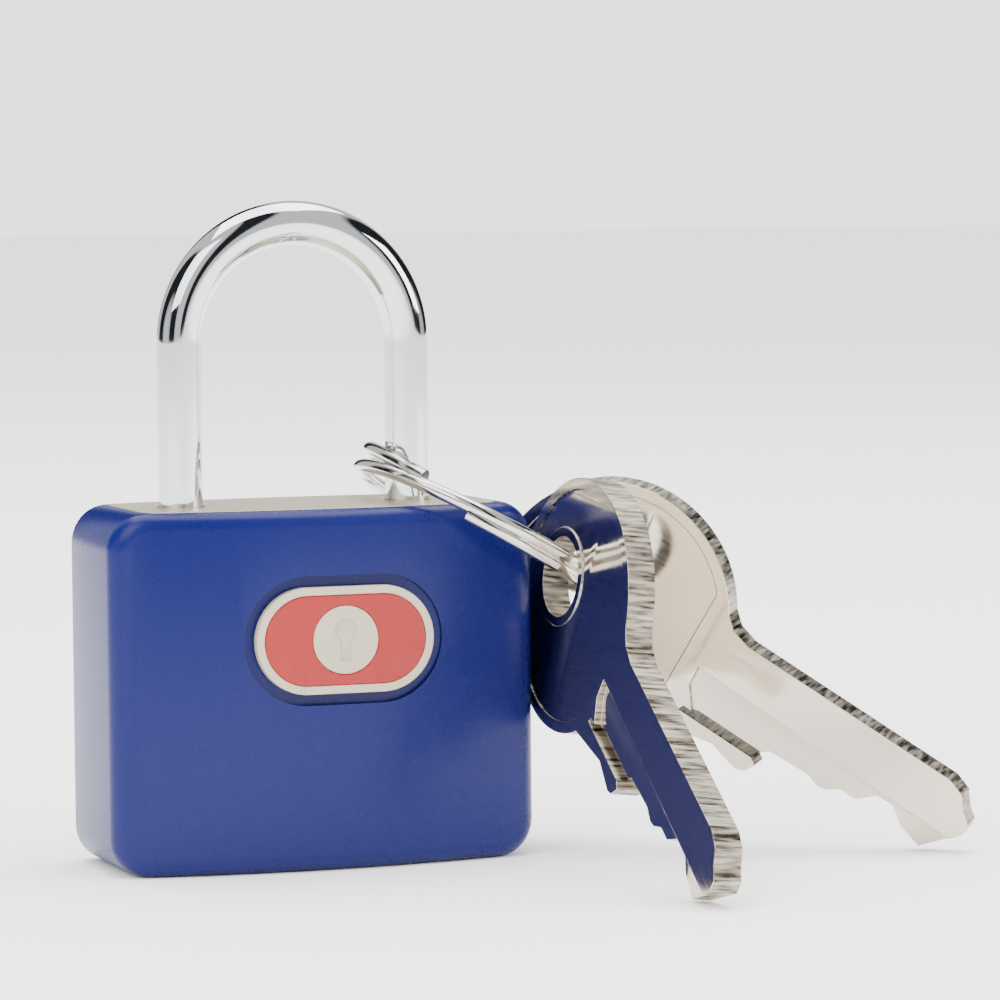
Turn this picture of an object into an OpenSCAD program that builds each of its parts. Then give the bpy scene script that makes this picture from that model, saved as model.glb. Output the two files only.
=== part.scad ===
// Small luggage padlock: two-piece plastic cover over a metal lock body, chrome shackle,
// wafer lock, and two flat keys hanging on a split ring around the heel leg of the shackle.
// X runs along the width, Y from front to back, Z up. Origin: centre of the body's underside.

/* [Body] */
// Width of the padlock body
body_w = 30; // [29:0.5:32]
// Height of the padlock body
body_h = 24.4; // [24:0.2:27]
// Depth of the body at its narrow sides
side_d = 10.9; // [10.5:0.1:12]
// How far the front and the back each bulge past the sides
bulge = 1.9; // [1.5:0.1:2.2]
// Corner radius of the body in front view
corner_r = 2.6; // [2:0.1:3]
// Place of the seam between the two covers, front to back
seam_y = 1.4; // [0.5:0.1:2]

/* [Cover] */
// Wall thickness of the cover at front and back
cover_wall = 1.2; // [1:0.1:1.4]
// Wall thickness of the cover at its narrow sides
cover_side = 1.4; // [1.2:0.1:1.6]
// Thickness of the cover's floor
cover_floor = 1.4; // [1.2:0.1:1.6]
// Width of the thin rim around the top plate
rim = 0.9; // [0.7:0.1:1]
// Thickness of the metal top plate
top_plate_t = 1.5; // [1.3:0.1:1.8]
// Length of the metal top plate along the body's width
top_plate_w = 25.2; // [24:0.2:26]

/* [Shackle] */
// Diameter of the shackle bar
bar_d = 3; // [2.8:0.1:3.1]
// Distance between the two legs, centre to centre
leg_span = 16.2; // [16:0.1:16.4]
// Sideways shift of the shackle from the middle of the body
shackle_x = -0.4; // [-0.5:0.1:-0.3]
// Height at which the straight legs turn into the bow
bow_z = 35.4; // [34:0.2:40]
// How far the shackle pops up when it opens
lift = 6.6; // [6.4:0.1:6.7]

/* [Lock] */
// Diameter of the plug that the key turns
plug_d = 7.8; // [7.6:0.1:7.8]
// Radial running gap around the plug and the shackle legs
running_gap = 0.06; // [0.04:0.01:0.09]
// Number of wafers
wafers = 5; // [5:5]
// Distance from one wafer to the next
wafer_pitch = 2.2; // [2.1:0.05:2.2]
// Offset of the eccentric pin that slides the latch
pin_throw = 0.85; // [0.8:0.01:0.86]

/* [Badge] */
// Length of the badge
badge_w = 12.5; // [11:0.5:13]
// Height of the badge
badge_h = 7.2; // [6.5:0.1:7.5]
// Centre of the badge across the front
badge_x = 0.7; // [-1:0.1:1]
// Centre of the badge above the underside
badge_z = 15.6; // [14:0.2:16]

/* [Split ring and keys] */
// Mean radius of the split ring
ring_r = 8.96; // [8.9:0.02:9]
// Diameter of the ring's wire
ring_wire = 0.95; // [0.9:0.05:0.95]
// Thickness of a key
key_t = 2; // [1.8:0.1:2]
// Radius of a key's round bow
key_bow_r = 8.7; // [8.5:0.1:8.8]
// Radius of the hole in a key's bow
key_hole_r = 2.75; // [2.7:0.05:2.8]

/* [Hidden] */
$fn = 64;
eps = 0.01;

cover_blue = "royalblue";
nickel = "silver";
chrome = "gainsboro";
steel = "lightsteelblue";
brass = "goldenrod";

// The front and back faces are arcs through the body's corners and the top of the bulge.
body_d = side_d + 2 * bulge;
face_r = (body_w * body_w / 4 + bulge * bulge) / (2 * bulge);
face_centre = face_r - body_d / 2;
top_plate_corner = 4;
block_gap = 0.05;
block_top = body_h - top_plate_t;

// Shackle: the toe on the left is short and notched, the heel on the right is long and necked.
bar_r = bar_d / 2;
toe_x = shackle_x - leg_span / 2;
heel_x = shackle_x + leg_span / 2;
toe_end_z = body_h - 6;
heel_end_z = 6.2;
neck_r = 1;
neck_z = 8.2;
neck_top_z = 16.3;
heel_bore_z = 2.4;
toe_bore_r = bar_r + 0.15;
shackle_pin_r = 0.45;
shackle_pin_x = heel_x + neck_r + 0.08 + shackle_pin_r;
shackle_pin_z = 15.7;
cross_pin_l = 10;

// Plug, wafers and the eccentric that drives the latch
plug_r = plug_d / 2;
plug_bore_r = plug_r + running_gap;
plug_z = 0.3;
plug_top = 17;
keyway_w = 6.1;
keyway_t = 2.2;
keyway_top = 15.6;
wafer_z = 2.6;
wafer_t = 0.9;
wafer_w = 6.6;
wafer_d = 3.7;
wafer_slot = wafer_t + 0.1;
ear_x = 1.5;
ear_l = 0.5;
ear_y = 2.9;
spring_pocket_x = -1.9;
wafer_travel = 0.35;
groove_r = 3.4;
groove_z = 13.9;
groove_h = 1;
plug_pin_r = 0.42;
cam_r = 2.9;
cam_t = 1.3;
cam_bore_top = plug_top + cam_t + 0.2;
tang = 2.4;
tang_l = 1.1;
pin_r = 0.7;
pin_x = pin_throw * cos(45);
pin_hole_r = 2.1;

// Latch and its pocket under the top plate
pocket_z = block_top - 2.3;
latch_z = pocket_z + 0.1;
latch_t = 2;
latch_w = 4.2;
latch_tip_x = toe_x + bar_r + 0.15;
latch_end_x = 2.7;
latch_spring_end_x = 5.3;
notch_depth = 1.3;

// Badge: a pill-shaped plate in a slightly larger recess, with enamel let into its face
badge_t = 0.8;
badge_floor_y = -body_d / 2 + 0.7;
badge_margin = 0.75;
badge_rim = 0.55;
badge_disc_r = 2.3;
enamel_t = 0.45;

// Split ring: it leans on the body's right shoulder and its left end is just inside the heel leg.
ring_centre = [12.7, -0.31, 22.64];
ring_tilt = [2, 29.5, 0];
coil_step = 0.95 * ring_wire;
key_front_at = -51.4;
key_back_at = 3.1;

// Keys: X runs from the bow to the tip, Y towards the plain back edge, the marked face is Z = 0.
hole_to_bow = 2.8;
front_key_turn = [81.9, 33.92, -90.37];
back_key_turn = [97.26, 32.04, -36.91];
front_wire_at = [0.22, 0.82];
back_wire_at = [-0.04, -0.44];
blade_x = hole_to_bow + 7.6;
milling = 0.5;

// Plan of a body whose front and back are arcs, with walls taken off all round
module bowed_plan(side_wall, face_wall) {
    intersection() {
        square([body_w - 2 * side_wall, body_w], center = true);
        translate([0, face_centre]) circle(r = face_r - face_wall, $fn = 180);
        translate([0, -face_centre]) circle(r = face_r - face_wall, $fn = 180);
    }
}

// Outline of the top plate, or with a gap of 0 of the opening that it fills
module top_plan(gap) {
    intersection() {
        bowed_plan(rim + gap, rim + gap);
        rounded_rect(top_plate_w - 2 * gap, body_d, top_plate_corner);
    }
}

module rounded_rect(w, h, r) {
    square([w - 2 * r, h], center = true);
    square([w, h - 2 * r], center = true);
    for (x = [-1, 1], y = [-1, 1]) translate([x * (w / 2 - r), y * (h / 2 - r)]) circle(r = r);
}

// A slab with the bowed plan and the rounded front view, less the walls given
module bowed_slab(side_wall, face_wall, low, high, r) {
    intersection() {
        translate([0, 0, low]) linear_extrude(high - low) bowed_plan(side_wall - 1, face_wall);
        translate([0, body_d, (low + high) / 2]) rotate([90, 0, 0])
            linear_extrude(2 * body_d) rounded_rect(body_w - 2 * side_wall, high - low, r);
    }
}

// Both covers together, before the seam parts them
module cover_shell() {
    difference() {
        bowed_slab(0, 0, 0, body_h, corner_r);
        translate([0, 0, cover_floor]) linear_extrude(block_top - cover_floor)
            bowed_plan(cover_side, cover_wall);
        translate([0, 0, block_top]) linear_extrude(body_h) top_plan(0);
        translate([0, 0, -1]) cylinder(r = plug_r + 0.3, h = cover_floor + 2);
    }
}

module pill(w, h) {
    square([w - h, h], center = true);
    for (s = [-1, 1]) translate([s * (w - h) / 2, 0]) circle(r = h / 2);
}

module on_front(y) {
    translate([badge_x, y, badge_z]) rotate([90, 0, 0]) children();
}

module front_cover() {
    color(cover_blue) difference() {
        intersection() {
            cover_shell();
            translate([-body_w, -body_d, -1]) cube([2 * body_w, body_d + seam_y, body_h + 2]);
        }
        on_front(badge_floor_y) linear_extrude(2)
            pill(badge_w + 2 * badge_margin, badge_h + 2 * badge_margin);
    }
}

module rear_cover() {
    color(cover_blue) intersection() {
        cover_shell();
        translate([-body_w, seam_y, -1]) cube([2 * body_w, body_d, body_h + 2]);
    }
}

// Die-cast block: bores for both legs and the plug, grooves for the wafers, pocket for the latch
module body_block() {
    color(nickel) difference() {
        translate([0, 0, cover_floor]) linear_extrude(block_top - cover_floor)
            bowed_plan(cover_side + block_gap, cover_wall + block_gap);
        translate([0, 0, -1]) cylinder(r = plug_bore_r, h = cam_bore_top + 1);
        translate([0, 0, cam_bore_top - 1]) cylinder(r = pin_hole_r, h = body_h);
        for (a = [0, 90]) rotate(a) translate([0, -2.1, -1]) cube([plug_bore_r + 0.4, 4.2, 14.3]);
        translate([toe_x, 0, toe_end_z - 0.4]) cylinder(r = toe_bore_r, h = body_h);
        translate([heel_x, 0, heel_bore_z]) cylinder(r = bar_r + running_gap, h = body_h);
        translate([toe_x, -latch_w / 2 - 0.1, pocket_z])
            cube([latch_spring_end_x - toe_x, latch_w + 0.2, body_h]);
        cross_pin_hole(shackle_pin_x, shackle_pin_z, shackle_pin_r);
        cross_pin_hole(plug_r + 0.1, groove_z + groove_h / 2, plug_pin_r);
    }
}

module cross_pin_hole(x, z, r) {
    translate([x, body_d, z]) rotate([90, 0, 0]) cylinder(r = r + 0.01, h = 2 * body_d, $fn = 32);
}

module cross_pin(x, z, r) {
    translate([x, cross_pin_l / 2, z]) rotate([90, 0, 0]) cylinder(r = r, h = cross_pin_l, $fn = 32);
}

module top_plate() {
    color(nickel) difference() {
        translate([0, 0, block_top]) linear_extrude(top_plate_t) top_plan(block_gap);
        for (x = [toe_x, heel_x]) translate([x, 0, block_top - 1])
            cylinder(r = toe_bore_r, h = top_plate_t + 2);
    }
}

// One bent bar: the toe carries the latch notch, the heel a neck that the cross pin runs in
module shackle() {
    color(chrome) difference() {
        union() {
            translate([toe_x, 0, toe_end_z]) cylinder(r = bar_r, h = bow_z - toe_end_z);
            translate([heel_x, 0, heel_end_z]) cylinder(r = bar_r, h = bow_z - heel_end_z);
            translate([shackle_x, 0, bow_z]) rotate([90, 0, 0])
                rotate_extrude(angle = 180, $fn = 96) translate([leg_span / 2, 0]) circle(r = bar_r);
        }
        translate([toe_x + bar_r - notch_depth, -bar_d, pocket_z - 0.1]) cube([bar_d, 2 * bar_d, 2.4]);
        translate([heel_x, 0, neck_z]) difference() {
            cylinder(r = bar_d, h = neck_top_z - neck_z);
            translate([0, 0, -1]) cylinder(r = neck_r, h = neck_top_z);
        }
    }
}

// Round wire wound on a cylinder along Z, with square-cut ends
function ring_points(r, wire_r, a, z, sides) = [
    for (k = [0 : sides - 1]) let (t = 360 * k / sides, d = r + wire_r * cos(t))
        [d * cos(a), d * sin(a), z + wire_r * sin(t)]
];

module coil(r, wire_r, length, turns, sides = 6, steps = 12) {
    n = turns * steps;
    rise = (length - 2 * wire_r) / n;
    points = [for (i = [0 : n]) each ring_points(r, wire_r, 360 * i / steps, wire_r + i * rise, sides)];
    walls = [for (i = [0 : n - 1], k = [0 : sides - 1]) let (m = (k + 1) % sides)
        [i * sides + k, i * sides + m, (i + 1) * sides + m, (i + 1) * sides + k]];
    start = [for (k = [sides - 1 : -1 : 0]) k];
    end = [for (k = [0 : sides - 1]) n * sides + k];
    polyhedron(points, concat(walls, [start, end]), convexity = 8);
}

module shackle_spring() {
    color(steel) translate([heel_x, 0, heel_bore_z])
        coil(r = 1.1, wire_r = 0.17, length = heel_end_z - heel_bore_z, turns = 5);
}

module shackle_retaining_pin() {
    color(steel) cross_pin(shackle_pin_x, shackle_pin_z, shackle_pin_r);
}

// Turned plug: keyway, wafer slots with a spring pocket each, a retaining groove and a socket
module plug() {
    color(brass) difference() {
        translate([0, 0, plug_z]) cylinder(r = plug_r, h = plug_top - plug_z);
        translate([-keyway_w / 2, -keyway_t / 2, -1]) cube([keyway_w, keyway_t, keyway_top + 1]);
        for (i = [0 : wafers - 1]) translate([0, 0, wafer_z + i * wafer_pitch]) {
            translate([-plug_r - 1, -wafer_d / 2 - 0.05, 0]) cube([plug_d + 2, wafer_d + 0.1, wafer_slot]);
            translate([spring_pocket_x, 0, 0])
                cube([ear_x + ear_l + wafer_travel + 0.05 - spring_pocket_x, ear_y + 0.05, wafer_slot]);
        }
        translate([0, 0, groove_z]) difference() {
            cylinder(r = plug_d, h = groove_h);
            translate([0, 0, -1]) cylinder(r = groove_r, h = groove_h + 2);
        }
        translate([-tang / 2, -tang / 2, plug_top - tang_l]) cube([tang, tang, tang_l + 1]);
    }
}

module plug_retaining_pin() {
    color(steel) cross_pin(plug_r + 0.1, groove_z + groove_h / 2, plug_pin_r);
}

module tailpiece_cam() {
    color(steel) {
        translate([0, 0, plug_top]) cylinder(r = cam_r, h = cam_t);
        translate([-tang / 2, -tang / 2, plug_top - tang_l]) cube([tang, tang, tang_l + eps]);
        rotate(45) translate([pin_throw, 0, plug_top]) cylinder(r = pin_r, h = latch_z + latch_t - plug_top);
    }
}

module latch() {
    color(steel) difference() {
        union() {
            translate([latch_tip_x, -1.3, latch_z]) cube([3, 2.6, latch_t]);
            translate([latch_tip_x + 2, -latch_w / 2, latch_z])
                cube([latch_end_x - latch_tip_x - 2, latch_w, latch_t]);
        }
        translate([pin_x - pin_r - 0.12, -0.4, latch_z - 1]) cube([2 * pin_r + 0.24, 2.1, latch_t + 2]);
    }
}

module latch_spring() {
    color(steel) translate([latch_end_x, 0, latch_z + latch_t / 2]) rotate([0, 90, 0])
        coil(r = 0.7, wire_r = 0.13, length = latch_spring_end_x - latch_end_x, turns = 5);
}

module wafer(i) {
    color(brass) translate([0, 0, wafer_z + (i - 1) * wafer_pitch + 0.05]) difference() {
        union() {
            translate([-wafer_w / 2, -wafer_d / 2, 0]) cube([wafer_w, wafer_d, wafer_t]);
            translate([ear_x, 0, 0]) cube([ear_l, ear_y, wafer_t]);
        }
        translate([-2.7, -1.12, -1]) cube([5.4, 2.24, wafer_t + 2]);
    }
}

module wafer_spring(i) {
    color(steel) translate([spring_pocket_x, 2.46, wafer_z + (i - 1) * wafer_pitch + wafer_slot / 2])
        rotate([0, 90, 0]) coil(r = 0.32, wire_r = 0.09, length = ear_x - spring_pocket_x, turns = 5);
}

module badge_frame() {
    color("ivory") on_front(badge_floor_y) difference() {
        linear_extrude(badge_t) pill(badge_w, badge_h);
        translate([0, 0, badge_t - enamel_t]) linear_extrude(badge_t) difference() {
            pill(badge_w - 2 * badge_rim, badge_h - 2 * badge_rim);
            circle(r = badge_disc_r);
        }
        translate([0, 0, badge_t - 0.2]) linear_extrude(1) {
            translate([0, 0.6]) circle(r = 0.75, $fn = 32);
            translate([-0.35, -1.4]) square([0.7, 2]);
        }
    }
}

module badge_enamel() {
    color("firebrick") on_front(badge_floor_y - badge_t + enamel_t) linear_extrude(enamel_t - 0.05)
        difference() {
            pill(badge_w - 2 * badge_rim - 0.04, badge_h - 2 * badge_rim - 0.04);
            circle(r = badge_disc_r + 0.02);
        }
}

// Two turns of wire pressed together
module split_ring() {
    color(nickel) translate(ring_centre) rotate(ring_tilt) rotate_extrude($fn = 96)
        for (s = [-0.5, 0.5]) translate([ring_r, s * coil_step]) circle(r = ring_wire / 2, $fn = 32);
}

// Outline of the blade, its tip and its cuts, measured from the start of the milled flat
module blade_outline() {
    polygon([
        [-2, 5.6], [-0.9, 5.3], [0.1, 4.4], [0.9, 3.65], [2.3, 3.25], [19, 3.25], [20.2, 2.8],
        [20.8, 1.9], [21.6, 1.2], [21.6, 0.3], [19.4, -2.25], [17.6, -1.7], [16.4, -0.8],
        [15.2, -0.85], [14, -1.95], [12.8, -1.95], [11.9, -2.6], [11.3, -2.7], [10.3, -2.35],
        [7.2, -2.5], [6.8, -2.9], [1.4, -3], [-2, -3]
    ]);
}

module prong_outline() {
    polygon([[-2, -3.4], [6.4, -3.4], [6.9, -3.8], [6.4, -4.6], [5.8, -4.8], [3.5, -4.2], [-1, -5.2]]);
}

// A stamped key with its origin at the centre of the hole
module key() {
    difference() {
        translate([0, 0, -key_t]) {
            translate([hole_to_bow, -0.3]) cylinder(r = key_bow_r, h = key_t, $fn = 96);
            translate([blade_x, -0.57]) linear_extrude(key_t) blade_outline();
            translate([blade_x, -0.57]) linear_extrude(key_t) prong_outline();
        }
        translate([0, 0, -key_t - 1]) cylinder(r = key_hole_r, h = key_t + 2);
        translate([blade_x, -0.57, -milling]) linear_extrude(1)
            polygon([[0, 0], [24, -0.5], [24, -6], [7.1, -6], [7.1, -3.1], [1.2, -3.1], [0.1, -1.5]]);
        translate([blade_x + 1.4, -0.57 - 3.4, -key_t - 1]) cube([9, 0.5, key_t + 2]);
    }
}

// Point on the middle of the ring's wire at an angle around the ring
function ring_point(a) = ring_centre + ring_r * [
    cos(a) * cos(ring_tilt[1]) + sin(a) * sin(ring_tilt[0]) * sin(ring_tilt[1]),
    sin(a) * cos(ring_tilt[0]),
    sin(a) * sin(ring_tilt[0]) * cos(ring_tilt[1]) - cos(a) * sin(ring_tilt[1])
];

// Turns a key so that the ring's wire passes its hole at the place given
module hang_key(ring_angle, turn, wire_at) {
    translate(ring_point(ring_angle)) rotate(turn) translate([-wire_at[0], -wire_at[1], key_t / 2]) key();
}

module key_front() {
    color(nickel) hang_key(key_front_at, front_key_turn, front_wire_at);
}

module key_back() {
    color(nickel) hang_key(key_back_at, back_key_turn, back_wire_at);
}

front_cover();
rear_cover();
body_block();
top_plate();
shackle();
shackle_spring();
shackle_retaining_pin();
plug();
plug_retaining_pin();
tailpiece_cam();
latch();
latch_spring();
wafer(1);  // wafer_1
wafer(2);  // wafer_2
wafer(3);  // wafer_3
wafer(4);  // wafer_4
wafer(5);  // wafer_5
wafer_spring(1);  // wafer_spring_1
wafer_spring(2);  // wafer_spring_2
wafer_spring(3);  // wafer_spring_3
wafer_spring(4);  // wafer_spring_4
wafer_spring(5);  // wafer_spring_5
badge_frame();
badge_enamel();
split_ring();
key_front();
key_back();
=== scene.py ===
# %% [markdown]
# # A small luggage padlock with two keys
# The padlock has a metal lock body inside a glossy plastic cover, a chromed shackle and two flat
# keys on a split ring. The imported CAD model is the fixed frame, so every new piece is made in
# metres at its final place, and its object stays at the origin.

# %% Load the frame
import math

import bmesh
import bpy
from mathutils import Euler, Matrix, Vector


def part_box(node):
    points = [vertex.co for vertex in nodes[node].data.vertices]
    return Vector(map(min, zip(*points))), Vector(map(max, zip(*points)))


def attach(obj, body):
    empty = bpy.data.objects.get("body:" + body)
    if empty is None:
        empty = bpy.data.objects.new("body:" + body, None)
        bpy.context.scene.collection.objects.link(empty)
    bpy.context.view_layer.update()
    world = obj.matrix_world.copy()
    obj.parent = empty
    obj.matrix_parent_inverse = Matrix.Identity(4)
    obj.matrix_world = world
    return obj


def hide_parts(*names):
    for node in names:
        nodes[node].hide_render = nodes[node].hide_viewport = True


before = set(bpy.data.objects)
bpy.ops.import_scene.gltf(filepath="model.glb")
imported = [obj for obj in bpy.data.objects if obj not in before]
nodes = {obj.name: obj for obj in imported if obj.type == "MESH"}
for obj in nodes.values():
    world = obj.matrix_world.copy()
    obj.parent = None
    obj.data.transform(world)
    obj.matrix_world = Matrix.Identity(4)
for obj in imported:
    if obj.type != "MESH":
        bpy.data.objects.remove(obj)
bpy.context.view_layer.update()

# %% [markdown]
# The camera comes first. It stands a little to the left of the lock and slightly above it, with
# a long lens from a third of a metre away, so the upright edges stay almost parallel. Its
# turn is put together from a direction round the object, a height and a small roll.

# %% Camera
MM = 0.001


def view_turn(around, height, roll):
    a, e = math.radians(around), math.radians(height)
    back = Vector((math.sin(a) * math.cos(e), -math.cos(a) * math.cos(e), math.sin(e)))
    right = Vector((math.cos(a), math.sin(a), 0))
    up = back.cross(right)
    turn = Matrix((right, up, back)).transposed()
    return turn @ Matrix.Rotation(math.radians(roll), 3, "Z"), back


camera_turn, towards_camera = view_turn(around=-20.28, height=3.81, roll=-0.52)
camera = bpy.data.objects.new("camera", bpy.data.cameras.new("camera"))
camera.data.lens = 171.0
camera.data.sensor_width = 36.0
camera.data.clip_end = 20
looked_at = Vector((14.52, 0, 24.12)) * MM
spot = looked_at + towards_camera * 329.5 * MM
camera.matrix_world = Matrix.Translation(spot) @ camera_turn.to_4x4()
bpy.context.scene.collection.objects.link(camera)
bpy.context.scene.camera = camera
print("camera at", [round(v, 3) for v in spot])

# %% [markdown]
# The stage is a wide white floor. A large soft light from the upper left gives the cover its
# gentle fall from light to dark, a smaller one from the right lights the keys, and the world
# is white with a few darker zones that only polished metal shows. Chrome has no colour of its
# own: without something dark to mirror it would look like white plastic.

# %% One function that adds a shader node, and one for colours


def add(tree, kind, links=(), **settings):
    """Adds a node; settings are sockets by number or name, or properties, and links are
    (socket of this node, output of another)."""
    node = tree.nodes.new(kind)
    for key, value in settings.items():
        if key.startswith("in_"):
            name = key[3:]
            socket = node.inputs[int(name)] if name.isdigit() else node.inputs[name.replace("_", " ")]
            socket.default_value = value
        else:
            setattr(node, key, value)
    for socket, source in links:
        tree.links.new(source, node.inputs[socket])
    return node


def hex_colour(code):
    """An sRGB hex colour such as 2B45AF as the linear colour that shaders take."""
    parts = [int(code[i:i + 2], 16) / 255 for i in (0, 2, 4)]
    return tuple(p / 12.92 if p <= 0.04045 else ((p + 0.055) / 1.055) ** 2.4 for p in parts) + (1.0,)


print("white is", hex_colour("FFFFFF"))

# %% Floor, lights and world


def area_light(name, place, aim, size, watts):
    light = bpy.data.lights.new(name, "AREA")
    light.energy = watts
    light.shape = "SQUARE"
    light.size = size
    lamp = bpy.data.objects.new(name, light)
    lamp.location = place
    lamp.rotation_euler = (Vector(aim) - Vector(place)).to_track_quat("-Z", "Y").to_euler()
    bpy.context.scene.collection.objects.link(lamp)
    return lamp


middle = (0.01, 0, 0.02)
area_light("soft_left", (-0.45, -0.30, 0.42), middle, 0.45, 2.5)
area_light("soft_top", (0.05, 0.10, 0.60), middle, 0.6, 6.0)
area_light("soft_right", (0.55, -0.25, 0.25), middle, 0.3, 2.0)

floor_bm = bmesh.new()
bmesh.ops.create_grid(floor_bm, x_segments=1, y_segments=1, size=4.0)
floor_mesh = bpy.data.meshes.new("floor")
floor_bm.to_mesh(floor_mesh)
floor_bm.free()
floor = bpy.data.objects.new("floor", floor_mesh)
bpy.context.scene.collection.objects.link(floor)
paper = bpy.data.materials.new("matt_white_paper")
paper.use_nodes = True
paper.node_tree.nodes["Principled BSDF"].inputs["Base Color"].default_value = hex_colour("FAFAFA")
paper.node_tree.nodes["Principled BSDF"].inputs["Roughness"].default_value = 0.9
floor.data.materials.append(paper)

world = bpy.data.worlds.new("studio")
bpy.context.scene.world = world
world.use_nodes = True
sky = world.node_tree
sky.nodes.clear()
where = add(sky, "ShaderNodeTexCoord")
bands = add(sky, "ShaderNodeTexWave", links=[("Vector", where.outputs["Generated"])],
            in_Scale=0.4, in_Distortion=1.2, in_Detail=1.0)
tone = add(sky, "ShaderNodeValToRGB", links=[(0, bands.outputs["Fac"])])
tone.color_ramp.elements[0].position = 0.25
tone.color_ramp.elements[0].color = hex_colour("15171A")
tone.color_ramp.elements[1].position = 0.5
tone.color_ramp.elements[1].color = hex_colour("A8A8A8")
path = add(sky, "ShaderNodeLightPath")
mirrored = add(sky, "ShaderNodeMix", data_type="RGBA",
               links=[("Factor", path.outputs["Is Glossy Ray"]), (7, tone.outputs["Color"])])
mirrored.inputs[6].default_value = hex_colour("FFFFFF")
glow = add(sky, "ShaderNodeBackground", links=[("Color", mirrored.outputs[2])], in_Strength=2.4)
add(sky, "ShaderNodeOutputWorld", links=[("Surface", glow.outputs[0])])

# %% [markdown]
# ## Materials
# Each one starts from what the real finish is. The cover is injection-moulded ABS in a deep
# royal blue: a smooth gloss with a hardly visible orange-peel waviness from the mould.

# %% A material with its surface shader


def new_material(name, colour, metallic=0.0, roughness=0.5, **more):
    """A Principled material. Values that are the same all over go on its own sockets."""
    material = bpy.data.materials.new(name)
    material.use_nodes = True
    tree = material.node_tree
    shader = tree.nodes["Principled BSDF"]
    shader.inputs["Base Color"].default_value = hex_colour(colour)
    shader.inputs["Metallic"].default_value = metallic
    shader.inputs["Roughness"].default_value = roughness
    for key, value in more.items():
        shader.inputs[key.replace("_", " ")].default_value = value
    return material, tree, shader


def grain(tree, size_mm, detail=2.0, stretch=(1, 1, 1), turn=(0, 0, 0)):
    """Noise on Object coordinates whose grains are about size_mm across."""
    place = add(tree, "ShaderNodeTexCoord")
    mapping = add(tree, "ShaderNodeMapping", links=[("Vector", place.outputs["Object"])])
    mapping.vector_type = "TEXTURE"
    mapping.inputs["Scale"].default_value = [1 / s for s in stretch]
    mapping.inputs["Rotation"].default_value = turn
    return add(tree, "ShaderNodeTexNoise", links=[("Vector", mapping.outputs[0])],
               in_Scale=1 / (size_mm * MM), in_Detail=detail)


def bump(tree, shader, height, distance_mm, strength=1.0):
    node = add(tree, "ShaderNodeBump", links=[("Height", height)],
               in_Distance=distance_mm * MM, in_Strength=strength)
    tree.links.new(node.outputs[0], shader.inputs["Normal"])
    return node


def spread(tree, source, low, high):
    """Turns a 0 to 1 pattern into values from low to high."""
    node = add(tree, "ShaderNodeMapRange", links=[("Value", source)])
    node.inputs["From Min"].default_value = 0.3
    node.inputs["From Max"].default_value = 0.7
    node.inputs["To Min"].default_value = low
    node.inputs["To Max"].default_value = high
    return node.outputs[0]


# %% Glossy blue ABS: an even colour, a soft gloss and a waviness of about 1.5 mm
blue_abs, tree, shader = new_material("moulded_blue_abs", "080F52", roughness=0.28)
shader.inputs["Specular IOR Level"].default_value = 0.25
waves = grain(tree, size_mm=1.5, detail=1.0)
bump(tree, shader, waves.outputs["Fac"], 0.004, 0.15)
sheen_grain = grain(tree, size_mm=0.25, detail=3.0)
tree.links.new(spread(tree, sheen_grain.outputs["Fac"], 0.26, 0.31), shader.inputs["Roughness"])
print("made", blue_abs.name)

# %% [markdown]
# The top plate is nickel-plated and satin: blasted before plating, so it glows softly and its
# fine grain scatters the light. The shackle is polished before its chrome plate, so it is a
# mirror with only the faintest drawing lines along the bar.

# %% Satin nickel and chrome
satin_nickel, tree, shader = new_material("satin_nickel_plate", "CCC3AE", metallic=1.0, roughness=0.42)
blast = grain(tree, size_mm=0.18, detail=3.0)
bump(tree, shader, blast.outputs["Fac"], 0.012, 0.5)
tree.links.new(spread(tree, blast.outputs["Fac"], 0.36, 0.5), shader.inputs["Roughness"])

chrome, tree, shader = new_material("polished_chrome_plate", "DADCDF", metallic=1.0, roughness=0.06)
drawn = grain(tree, size_mm=0.5, detail=2.0, stretch=(1, 1, 0.15))
tree.links.new(spread(tree, drawn.outputs["Fac"], 0.04, 0.09), shader.inputs["Roughness"])
print("made", satin_nickel.name, "and", chrome.name)

# %% [markdown]
# The keys are stamped from nickel-plated brass strip. Their faces are rolled and nearly bright,
# with fine scratches from the key ring; their edges are sheared, so they are rough, with
# streaks that run through the thickness. The edge colour is partly painted: the streaks are the
# shear marks, while their dark tone is a painted dark reflection. Both patterns are turned with each key.

# %% Key faces and sheared edges


def key_materials(name, turn):
    face, tree, shader = new_material(name + "_rolled_nickel", "D3CABA", metallic=1.0, roughness=0.1)
    lines = grain(tree, size_mm=0.22, detail=4.0, stretch=(0.08, 1, 1), turn=turn)
    tree.links.new(spread(tree, lines.outputs["Fac"], 0.07, 0.14), shader.inputs["Roughness"])
    bump(tree, shader, lines.outputs["Fac"], 0.002, 0.15)
    # The sheared edges' streaks are real shear marks. Their darker tone, down to 564F43, is a painted
    # dark reflection of the surroundings.
    edge, tree, shader = new_material(name + "_sheared_nickel_painted_dark_reflection", "9D9484", metallic=1.0, roughness=0.4)
    streaks = grain(tree, size_mm=0.28, detail=5.0, stretch=(1, 1, 0.12), turn=turn)
    tree.links.new(spread(tree, streaks.outputs["Fac"], 0.22, 0.55), shader.inputs["Roughness"])
    streaks_and_painted_dark_reflection = add(tree, "ShaderNodeValToRGB", links=[("Fac", streaks.outputs["Fac"])])
    streaks_and_painted_dark_reflection.color_ramp.elements[0].position = 0.35
    streaks_and_painted_dark_reflection.color_ramp.elements[0].color = hex_colour("564F43")
    streaks_and_painted_dark_reflection.color_ramp.elements[1].position = 0.62
    streaks_and_painted_dark_reflection.color_ramp.elements[1].color = hex_colour("C9C1B0")
    tree.links.new(streaks_and_painted_dark_reflection.outputs["Color"], shader.inputs["Base Color"])
    bump(tree, shader, streaks.outputs["Fac"], 0.05, 0.6)
    return face, edge


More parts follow.
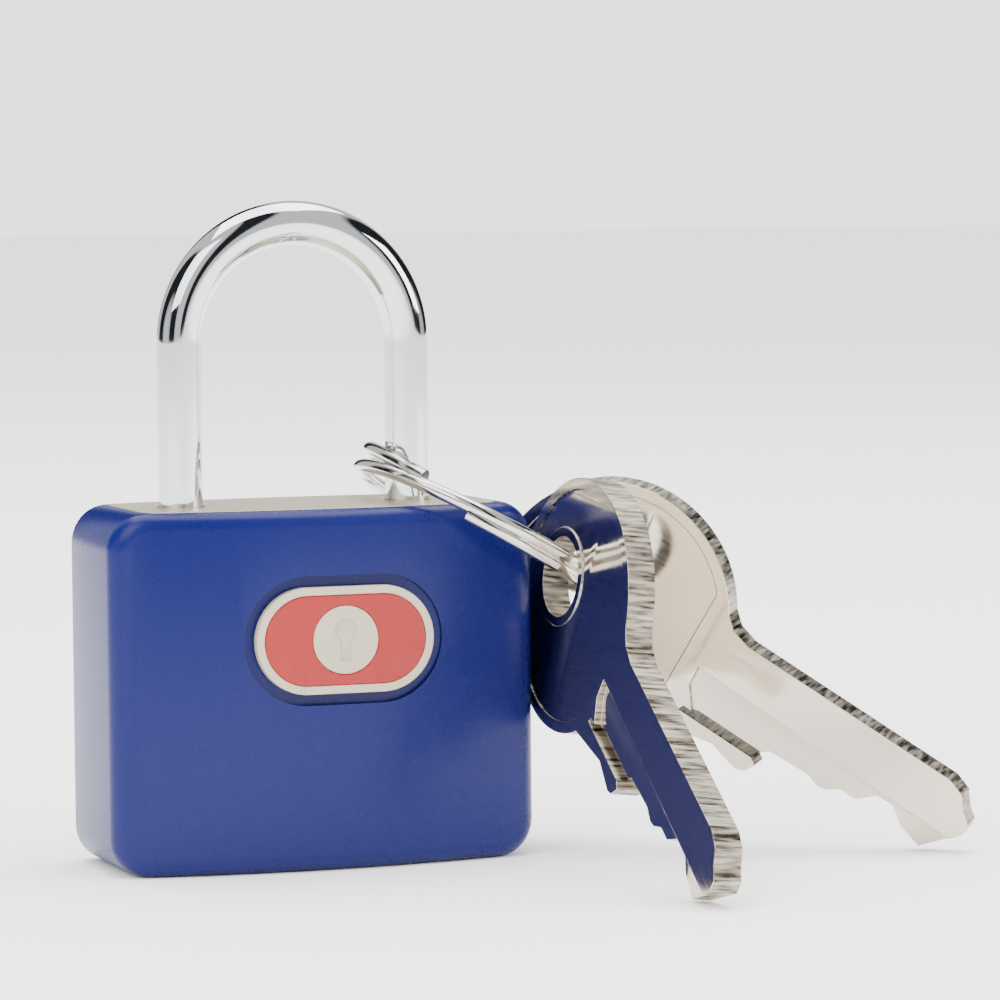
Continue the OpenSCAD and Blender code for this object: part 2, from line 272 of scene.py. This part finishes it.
# %% Lacquer, enamel, brass, zinc and steel
cream_lacquer, tree, shader = new_material("cream_lacquer", "B8AF98", roughness=0.28)
settle = grain(tree, size_mm=0.6)
bump(tree, shader, settle.outputs["Fac"], 0.008, 0.3)
tree.links.new(spread(tree, settle.outputs["Fac"], 0.24, 0.34), shader.inputs["Roughness"])

red_enamel, tree, shader = new_material("soft_enamel_red", "960803", roughness=0.22)
pool = grain(tree, size_mm=0.9)
bump(tree, shader, pool.outputs["Fac"], 0.02, 0.35)
tree.links.new(spread(tree, pool.outputs["Fac"], 0.18, 0.28), shader.inputs["Roughness"])

brass, tree, shader = new_material("machined_brass", "D2A85A", metallic=1.0, roughness=0.28)
turning = grain(tree, size_mm=0.15, detail=3.0, stretch=(1, 1, 3))
tree.links.new(spread(tree, turning.outputs["Fac"], 0.2, 0.38), shader.inputs["Roughness"])
bump(tree, shader, turning.outputs["Fac"], 0.006, 0.4)

zinc, tree, shader = new_material("die_cast_zinc", "A5A7A9", metallic=1.0, roughness=0.5)
skin = grain(tree, size_mm=0.4, detail=4.0)
bump(tree, shader, skin.outputs["Fac"], 0.02, 0.5)
tree.links.new(spread(tree, skin.outputs["Fac"], 0.4, 0.6), shader.inputs["Roughness"])

steel, tree, shader = new_material("drawn_spring_steel", "A9ACB0", metallic=1.0, roughness=0.3)
fine = grain(tree, size_mm=0.2, detail=2.0)
tree.links.new(spread(tree, fine.outputs["Fac"], 0.24, 0.38), shader.inputs["Roughness"])

ring_nickel, tree, shader = new_material("nickel_plated_wire", "D3D1CB", metallic=1.0, roughness=0.12)
rubbed = grain(tree, size_mm=0.4, detail=3.0)
tree.links.new(spread(tree, rubbed.outputs["Fac"], 0.08, 0.2), shader.inputs["Roughness"])
print(len(bpy.data.materials), "materials")

# %% [markdown]
# ## Shaping helpers
# A piece is built in millimetres in a bmesh, then turned into an object in metres. Holes
# and recesses are cut with a Boolean that is applied at once, and a Bevel modifier then breaks
# the sharp edges, because no real edge is perfectly sharp and light catches on the rounding.

# %% From bmesh to piece


def to_piece(name, bm, *materials):
    bmesh.ops.recalc_face_normals(bm, faces=bm.faces[:])
    bmesh.ops.scale(bm, vec=(MM, MM, MM), verts=bm.verts[:])
    mesh = bpy.data.meshes.new(name)
    bm.to_mesh(mesh)
    bm.free()
    piece = bpy.data.objects.new(name, mesh)
    bpy.context.scene.collection.objects.link(piece)
    for material in materials:
        mesh.materials.append(material)
    return piece


def cut(piece, tool, how="DIFFERENCE"):
    modifier = piece.modifiers.new("cut", "BOOLEAN")
    modifier.operation = how
    modifier.solver = "EXACT"
    modifier.object = tool
    seen = piece.evaluated_get(bpy.context.evaluated_depsgraph_get())
    result = bpy.data.meshes.new_from_object(seen)
    piece.modifiers.clear()
    old = piece.data
    piece.data = result
    bpy.data.meshes.remove(old)
    bpy.data.objects.remove(tool)
    return piece


def break_edges(piece, width_mm, segments=2, angle=35, smooth=40):
    modifier = piece.modifiers.new("broken_edges", "BEVEL")
    modifier.width = width_mm * MM
    modifier.segments = segments
    modifier.limit_method = "ANGLE"
    modifier.angle_limit = math.radians(angle)
    modifier.miter_outer = "MITER_ARC"
    smooth_shade(piece, smooth)
    return piece


def smooth_shade(piece, angle=40):
    piece.data.shade_smooth()
    piece.data.set_sharp_from_angle(angle=math.radians(angle))


def block(x0, x1, y0, y1, z0, z1):
    bm = bmesh.new()
    bmesh.ops.create_cube(bm, size=1)
    bmesh.ops.scale(bm, vec=(x1 - x0, y1 - y0, z1 - z0), verts=bm.verts[:])
    bmesh.ops.translate(bm, vec=((x0 + x1) / 2, (y0 + y1) / 2, (z0 + z1) / 2), verts=bm.verts[:])
    return bm


def round_edges(bm, along, radius, segments=8):
    """Rounds the edges that run along one axis."""
    edges = [e for e in bm.edges
             if abs((e.verts[0].co - e.verts[1].co).normalized()[along]) > 0.999]
    bmesh.ops.bevel(bm, geom=edges, offset=radius, affect="EDGES", segments=segments,
                    profile=0.5, material=-1, clamp_overlap=True)
    return bm


def rod(radius, z0, z1, x=0.0, y=0.0, sides=64):
    bm = bmesh.new()
    bmesh.ops.create_cone(bm, cap_ends=True, segments=sides, radius1=radius, radius2=radius,
                          depth=z1 - z0)
    bmesh.ops.translate(bm, vec=(x, y, (z0 + z1) / 2), verts=bm.verts[:])
    return bm


def finish_piece(piece, body, slot, *replaced):
    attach(piece, body)
    if replaced:
        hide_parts(*replaced)
    print(piece.name, len(piece.data.polygons), "faces, on", body)
    return piece


# %% [markdown]
# ## The cover
# The front and back of the body are gently bowed from side to side, and every outer edge is
# well rounded. A box is rounded first, sliced into upright strips, and then each vertex is
# pushed out by the height of the arc at its place across the width. That keeps the roundings
# even, which bevelling the bowed shape would not.

# %% Sizes of the body, from the CAD nodes
front_low, front_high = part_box("front_cover")
rear_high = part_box("rear_cover")[1]
BODY_W = (front_high.x - front_low.x) / MM
BODY_H = front_high.z / MM
BODY_D = (rear_high.y - front_low.y) / MM
SEAM_Y = front_high.y / MM
BULGE = 1.9
SIDE_WALL, FACE_WALL, FLOOR_T = 1.4, 1.2, 1.4
PLUG_OPENING_R = 4.2
RECESS_MARGIN = 0.75
SIDE_D = BODY_D - 2 * BULGE
FACE_R = (BODY_W ** 2 / 4 + BULGE ** 2) / (2 * BULGE)
print("body", round(BODY_W, 2), round(BODY_D, 2), round(BODY_H, 2), "arc radius", round(FACE_R, 1))


def bow(bm, half_width):
    """Slices the shape into strips across the width and pushes its front and back to the arc."""
    strips = 36
    for i in range(1, strips):
        x = -half_width + 2 * half_width * i / strips
        bmesh.ops.bisect_plane(bm, geom=bm.verts[:] + bm.edges[:] + bm.faces[:], dist=1e-4,
                               plane_co=(x, 0, 0), plane_no=(1, 0, 0))
    for v in bm.verts:
        sag = FACE_R - math.sqrt(FACE_R ** 2 - v.co.x ** 2)
        v.co.y += math.copysign(BULGE - sag, v.co.y)
    return bm


def bowed_block(side_wall, face_wall, z0, z1):
    half_w = BODY_W / 2 - side_wall
    half_d = SIDE_D / 2 - face_wall
    return bow(block(-half_w, half_w, -half_d, half_d, z0, z1), half_w)


# %% Outer form of the cover
EDGE_R = 1.2
CORNER_R = 2.6
outer = block(-BODY_W / 2, BODY_W / 2, -SIDE_D / 2, SIDE_D / 2, 0, BODY_H)
round_edges(outer, along=1, radius=CORNER_R, segments=10)
rim_edges = [e for e in outer.edges if len(e.link_faces) == 2
             and max(abs(f.normal.y) for f in e.link_faces) > 0.99
             and min(abs(f.normal.y) for f in e.link_faces) < 0.01]
bmesh.ops.bevel(outer, geom=rim_edges, offset=EDGE_R, affect="EDGES", segments=6, profile=0.5,
                material=-1, clamp_overlap=True)
bow(outer, BODY_W / 2)
print("outer form has", len(outer.faces), "faces")
shell = to_piece("cover_shell", outer, blue_abs)

# %% [markdown]
# The shell is hollow for the lock body, open at the top for the metal plate and at the bottom
# for the plug, and its front has a shallow oval recess for the badge. The plate and
# its opening share one outline: a rounded rectangle whose long sides follow the bow.

# %% Cut the cavity, the openings and the badge recess
PLATE_T = 1.5
PLATE_W = 25.2
PLATE_CORNER = 4
PLATE_GAP = 0.05
RIM = 0.9
BLOCK_TOP = BODY_H - PLATE_T


def plate_form(gap, z0, z1):
    half = PLATE_W / 2 - gap
    plate = round_edges(block(-half, half, -BODY_D / 2, BODY_D / 2, z0, z1), along=2, radius=PLATE_CORNER,
                        segments=12)
    plate = to_piece("plate_form", plate)
    arcs = to_piece("plate_arcs", bowed_block(0.5, RIM + gap, z0 - 1, z1 + 1))
    return cut(plate, arcs, "INTERSECT")


def pill(width, height, y0, y1, x, z):
    bm = block(x - width / 2, x + width / 2, y0, y1, z - height / 2, z + height / 2)
    return round_edges(bm, along=1, radius=height / 2 - 0.001, segments=20)


badge_low, badge_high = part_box("badge_frame")
BADGE_X = (badge_low.x + badge_high.x) / 2 / MM
BADGE_Z = (badge_low.z + badge_high.z) / 2 / MM
BADGE_W = (badge_high.x - badge_low.x) / MM
BADGE_H = (badge_high.z - badge_low.z) / MM
BADGE_FLOOR_Y = badge_high.y / MM
cut(shell, to_piece("cavity", bowed_block(SIDE_WALL, FACE_WALL, FLOOR_T, BLOCK_TOP)))
cut(shell, plate_form(0, BLOCK_TOP, BODY_H + 2))
cut(shell, to_piece("plug_opening", rod(PLUG_OPENING_R, -1, 2, sides=96)))
recess = pill(BADGE_W + 2 * RECESS_MARGIN, BADGE_H + 2 * RECESS_MARGIN, -12, BADGE_FLOOR_Y,
              BADGE_X, BADGE_Z)
cut(shell, to_piece("badge_recess", recess))
print("shell has", len(shell.data.polygons), "faces")

# %% Part the shell at the seam and break its edges


def half_shell(name, keep_front):
    bm = bmesh.new()
    bm.from_mesh(shell.data)
    side = 1 if keep_front else -1
    cut_line = bmesh.ops.bisect_plane(bm, geom=bm.verts[:] + bm.edges[:] + bm.faces[:], dist=1e-7,
                                      plane_co=(0, SEAM_Y * MM, 0), plane_no=(0, side, 0),
                                      clear_outer=True)
    rim = [g for g in cut_line["geom_cut"] if isinstance(g, bmesh.types.BMEdge)]
    bmesh.ops.triangle_fill(bm, edges=rim, use_beauty=True)
    bmesh.ops.remove_doubles(bm, verts=bm.verts[:], dist=1e-6)
    bmesh.ops.dissolve_limit(bm, angle_limit=math.radians(0.5), verts=bm.verts[:],
                             edges=bm.edges[:], delimit={"NORMAL"})
    bmesh.ops.recalc_face_normals(bm, faces=bm.faces[:])
    mesh = bpy.data.meshes.new(name)
    bm.to_mesh(mesh)
    bm.free()
    mesh.materials.clear()
    mesh.materials.append(blue_abs)
    half = bpy.data.objects.new(name, mesh)
    bpy.context.scene.collection.objects.link(half)
    break_edges(half, 0.14, segments=2, angle=35, smooth=30)
    return half


finish_piece(half_shell("front_cover_shell", True), "lock_body", "cover_plastic", "front_cover")
finish_piece(half_shell("rear_cover_shell", False), "lock_body", "cover_plastic", "rear_cover")
bpy.data.objects.remove(shell)

# %% [markdown]
# The top plate drops into the opening, with a hole for each leg of the shackle. The hole edges are
# broken a little more than a drawing would say, as a punched and tumbled plate shows.

# %% Top plate
shackle_low, shackle_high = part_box("shackle")
BAR_R = 1.5
LEG_GAP = 0.15
TOE_X = shackle_low.x / MM + BAR_R
HEEL_X = shackle_high.x / MM - BAR_R
plate = plate_form(PLATE_GAP, BLOCK_TOP, BODY_H)
for x in (TOE_X, HEEL_X):
    cut(plate, to_piece("leg_hole", rod(BAR_R + LEG_GAP, BLOCK_TOP - 1, BODY_H + 1, x=x)))
plate.name = plate.data.name = "satin_top_plate"
plate.data.materials.clear()
plate.data.materials.append(satin_nickel)
break_edges(plate, 0.1, segments=2)
finish_piece(plate, "lock_body", "top_plate_nickel", "top_plate")

# %% [markdown]
# ## The shackle
# It is one bar bent to a U. A circle is spun half a turn for the bow, and its two open ends
# are drawn straight down. The long heel leg narrows to a neck that the cross pin
# runs in, and the toe has a notch for the latch, so both look right when the lock is open.

# %% Bend and draw the bar
BOW_Z = shackle_high.z / MM - BAR_R - (HEEL_X - TOE_X) / 2
MID_X = (TOE_X + HEEL_X) / 2
NECK_R, NECK_LOW, NECK_HIGH = 1.0, 8.2, 16.3
HEEL_END, TOE_END = 6.2, 18.4
END_R, END_CHAMFER = 1.35, 0.15
NOTCH_DEPTH, NOTCH_LOW, NOTCH_HIGH = 1.3, 20.5, 22.9


def draw_down(bm, ring, steps):
    """Extrudes an open ring of edges to each (z, radius) in turn and closes the end."""
    for z, radius in steps:
        grown = bmesh.ops.extrude_edge_only(bm, edges=ring)["geom"]
        verts = [g for g in grown if isinstance(g, bmesh.types.BMVert)]
        ring = [g for g in grown if isinstance(g, bmesh.types.BMEdge)
                and all(v in verts for v in g.verts)]
        middle_x = sum(v.co.x for v in verts) / len(verts)
        now = max(math.hypot(v.co.x - middle_x, v.co.y) for v in verts)
        for v in verts:
            v.co.x = middle_x + (v.co.x - middle_x) * radius / now
            v.co.y *= radius / now
            v.co.z = z
    bmesh.ops.contextual_create(bm, geom=ring)


bar = bmesh.new()
bmesh.ops.create_circle(bar, cap_ends=False, segments=48, radius=BAR_R)
bmesh.ops.translate(bar, vec=(TOE_X, 0, BOW_Z), verts=bar.verts[:])
first = bar.edges[:]
spun = bmesh.ops.spin(bar, geom=first, cent=(MID_X, 0, BOW_Z), axis=(0, 1, 0), angle=math.pi,
                      steps=72, use_merge=False, use_duplicate=False)
last = [g for g in spun["geom_last"] if isinstance(g, bmesh.types.BMEdge)]
draw_down(bar, last, [(z, BAR_R) for z in (30, 24, 16.5)]
          + [(NECK_HIGH, NECK_R), (NECK_LOW, NECK_R), (8.0, BAR_R)]
          + [(HEEL_END + END_CHAMFER, BAR_R), (HEEL_END, END_R)])
draw_down(bar, [e for e in first if e.is_valid],
          [(z, BAR_R) for z in (30, 24, TOE_END + END_CHAMFER)] + [(TOE_END, END_R)])
bmesh.ops.remove_doubles(bar, verts=bar.verts[:], dist=1e-4)
shackle = to_piece("chrome_shackle", bar, chrome)
notch = block(TOE_X + BAR_R - NOTCH_DEPTH, TOE_X + 3, -3, 3, NOTCH_LOW, NOTCH_HIGH)
cut(shackle, to_piece("notch", notch))
smooth_shade(shackle, 35)
finish_piece(shackle, "shackle", "shackle_chrome", "shackle")

# %% [markdown]
# ## The split ring
# A split ring is two turns of springy wire pressed together. Where it was forced over the
# leg of the shackle its coils stand a little apart. One ring of edges is extruded step by
# step round the circle, and its height above the ring's plane follows the coil.

# %% Wind the wire
RING_C = Vector((12.7, -0.31, 22.64))
RING_TURN = Euler((math.radians(2), math.radians(29.5), 0)).to_matrix().to_4x4()
RING_R = 8.96
WIRE_R = 0.475
START, TURNS, STEPS = math.radians(-140), 1.93, 232
LEFT_END = math.radians(161.6)


def coil_height(angle, done):
    """Upper turn first, then the lower; the left end is splayed."""
    step = min(1.0, max(0.0, (done * TURNS - 0.62) / 0.72))
    step = step * step * (3 - 2 * step)
    flat = 0.45 - 0.9 * step
    left = max(0.0, math.cos(angle - LEFT_END)) ** 3
    return flat + left * (0.55 * (1 - step) - 0.25 * step)


wire = bmesh.new()
bmesh.ops.create_circle(wire, cap_ends=False, segments=16, radius=WIRE_R)
bmesh.ops.rotate(wire, cent=(0, 0, 0), matrix=Matrix.Rotation(math.pi / 2, 3, "X"), verts=wire.verts[:])
bmesh.ops.translate(wire, vec=(RING_R, 0, 0), verts=wire.verts[:])
bmesh.ops.rotate(wire, cent=(0, 0, 0), matrix=Matrix.Rotation(START, 3, "Z"), verts=wire.verts[:])
bmesh.ops.translate(wire, vec=(0, 0, coil_height(START, 0)), verts=wire.verts[:])
loop = wire.edges[:]
bmesh.ops.contextual_create(wire, geom=loop)
turn_step = -2 * math.pi * TURNS / STEPS
for i in range(1, STEPS + 1):
    grown = bmesh.ops.extrude_edge_only(wire, edges=loop)["geom"]
    verts = [g for g in grown if isinstance(g, bmesh.types.BMVert)]
    loop = [g for g in grown if isinstance(g, bmesh.types.BMEdge) and all(v in verts for v in g.verts)]
    angle, before = START + turn_step * i, START + turn_step * (i - 1)
    rise = coil_height(angle, i / STEPS) - coil_height(before, (i - 1) / STEPS)
    bmesh.ops.rotate(wire, cent=(0, 0, 0), matrix=Matrix.Rotation(turn_step, 3, "Z"), verts=verts)
    bmesh.ops.translate(wire, vec=(0, 0, rise), verts=verts)
bmesh.ops.contextual_create(wire, geom=loop)
bmesh.ops.transform(wire, matrix=Matrix.Translation(RING_C) @ RING_TURN, verts=wire.verts[:])
ring = to_piece("wound_split_ring", wire, ring_nickel)
smooth_shade(ring, 50)
finish_piece(ring, "split_ring", "ring_nickel", "split_ring")

# %% [markdown]
# ## The keys
# Each key starts as a copy of its CAD node, merged so that its flat faces become whole
# again. The bow gets a coined panel with a thin raised rim, cut in the key's own plane, and all the
# edges are broken as tumbling leaves them. Faces whose normal lies in the plane are the
# sheared edges and take the rougher finish, whose darker colour is a painted dark reflection.

# %% Turn and place of each key
KEY_T = 2.0
BOW_X, BOW_Y = 2.8, -0.3
PANEL_R, PANEL_DEPTH, PANEL_END_X = 7.9, 0.12, 9.0
COLLAR_R = 3.4


def ring_point(angle):
    a = math.radians(angle)
    return RING_C + RING_TURN.to_3x3() @ Vector((RING_R * math.cos(a), RING_R * math.sin(a), 0))


def key_frame(angle, turn, wire_at):
    """Matrix from a key's own plane, with the hole's centre at the origin, to the frame in mm."""
    rotation = Euler([math.radians(v) for v in turn]).to_matrix().to_4x4()
    shift = Matrix.Translation((-wire_at[0], -wire_at[1], KEY_T / 2))
    return Matrix.Translation(ring_point(angle)) @ rotation @ shift, rotation


def finish_key(node, name, angle, turn, wire_at):
    place, rotation = key_frame(angle, turn, wire_at)
    face, edge = key_materials(name, tuple(rotation.to_3x3().to_euler()))
    bm = bmesh.new()
    bm.from_mesh(nodes[node].data)
    bmesh.ops.remove_doubles(bm, verts=bm.verts[:], dist=1e-6)
    bmesh.ops.scale(bm, vec=(1 / MM, 1 / MM, 1 / MM), verts=bm.verts[:])
    bmesh.ops.dissolve_limit(bm, angle_limit=math.radians(0.5), verts=bm.verts[:], edges=bm.edges[:])
    key = to_piece(name, bm, face, edge)
    panel_cuts(key, place)
    normal = rotation.to_3x3() @ Vector((0, 0, 1))
    for polygon in key.data.polygons:
        polygon.material_index = 0 if abs(polygon.normal.dot(normal)) > 0.7 else 1
    break_edges(key, 0.11, segments=2, angle=30, smooth=40)
    return key


def panel_cuts(key, place):
    """A shallow coined panel on each side of the bow, left inside a thin rim."""
    for z in (0.0, -KEY_T):
        disc = rod(PANEL_R, z - PANEL_DEPTH, z + PANEL_DEPTH, x=BOW_X, y=BOW_Y, sides=96)
        collar = to_piece("collar", rod(COLLAR_R, z - 1, z + 1, sides=64))
        panel = cut(to_piece("panel", disc), collar)
        stop = to_piece("stop", block(PANEL_END_X, 14, -9, 9, z - 1, z + 1))
        cut(panel, stop)
        panel.data.transform(Matrix.Diagonal((1 / MM, 1 / MM, 1 / MM, 1)))
        panel.data.transform(place)
        panel.data.transform(Matrix.Diagonal((MM, MM, MM, 1)))
        cut(key, panel)


front_key = finish_key("key_front", "stamped_key_front", -51.4, (81.9, 33.92, -90.37), (0.22, 0.82))
finish_piece(front_key, "key_front", "key_nickel", "key_front")
back_key = finish_key("key_back", "stamped_key_back", 3.1, (97.26, 32.04, -36.91), (-0.04, -0.44))
finish_piece(back_key, "key_back", "key_nickel", "key_back")

# %% [markdown]
# ## The badge
# A small cream plate sits in the recess, with red enamel poured round a disc that bears a plain
# keyhole. Both copy their CAD nodes, merged, with softly broken edges.

# %% Badge plate and enamel


def merged_copy(node, name, material):
    bm = bmesh.new()
    bm.from_mesh(nodes[node].data)
    bmesh.ops.remove_doubles(bm, verts=bm.verts[:], dist=1e-6)
    bmesh.ops.dissolve_limit(bm, angle_limit=math.radians(0.5), verts=bm.verts[:], edges=bm.edges[:])
    mesh = bpy.data.meshes.new(name)
    bm.to_mesh(mesh)
    bm.free()
    mesh.materials.clear()
    mesh.materials.append(material)
    piece = bpy.data.objects.new(name, mesh)
    bpy.context.scene.collection.objects.link(piece)
    return piece


badge = break_edges(merged_copy("badge_frame", "badge_plate", cream_lacquer), 0.08)
finish_piece(badge, "lock_body", "badge_metal", "badge_frame")
enamel = break_edges(merged_copy("badge_enamel", "badge_enamel_fill", red_enamel), 0.06)
finish_piece(enamel, "lock_body", "badge_red", "badge_enamel")

# %% [markdown]
# ## The works inside
# The lock body, plug, wafers, springs and pins keep their CAD shapes and only get their real
# finishes. From below the brass plug shows with its keyway.

# %% Finishes of the CAD nodes
finish_of = {"body_block": zinc, "plug": brass, "latch": steel, "tailpiece_cam": steel,
             "shackle_spring": steel, "latch_spring": steel, "shackle_retaining_pin": steel,
             "plug_retaining_pin": steel}
for i in range(1, 6):
    finish_of["wafer_%d" % i] = brass
    finish_of["wafer_spring_%d" % i] = steel
for name, material in finish_of.items():
    nodes[name].data.materials.clear()
    nodes[name].data.materials.append(material)
print(len(finish_of), "CAD nodes finished")
